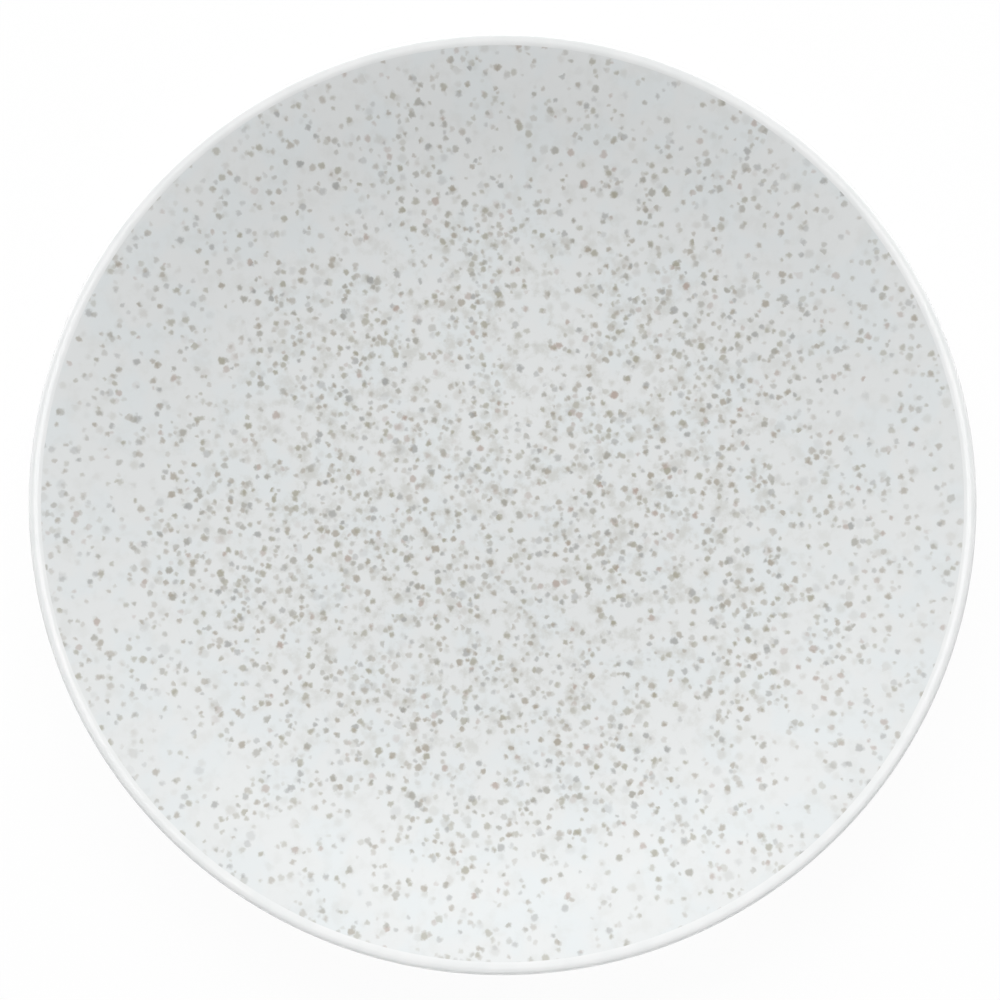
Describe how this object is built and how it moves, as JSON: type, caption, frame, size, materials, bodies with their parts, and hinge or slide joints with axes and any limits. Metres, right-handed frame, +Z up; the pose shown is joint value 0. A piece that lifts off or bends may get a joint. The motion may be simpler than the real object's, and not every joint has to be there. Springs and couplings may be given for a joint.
{
  "type": "coupe plate",
  "caption": "Round rimless dinner plate with a dished face, a plain rounded lip and a foot ring, in fired clay under speckled and white glaze.",
  "frame": {"origin": "centre of the foot ring, on the surface that the plate stands on", "axes": "+Z up along the axis of the plate, out of the eating face; +X and +Y lie in the table, and the plate is round about +Z"},
  "size_m": [0.27, 0.27, 0.0249],
  "materials": {
    "fired_clay": "matt, bare vitrified body",
    "speckled_glaze": "glossy cool white with fine taupe and olive-grey specks",
    "white_glaze": "glossy plain white"
  },
  "bodies": {
    "root": {"clay_body": "fired_clay", "face_glaze": "speckled_glaze", "lip_glaze": "white_glaze", "back_glaze": "white_glaze", "foot_well_glaze": "white_glaze"}
  },
  "joints": []
}
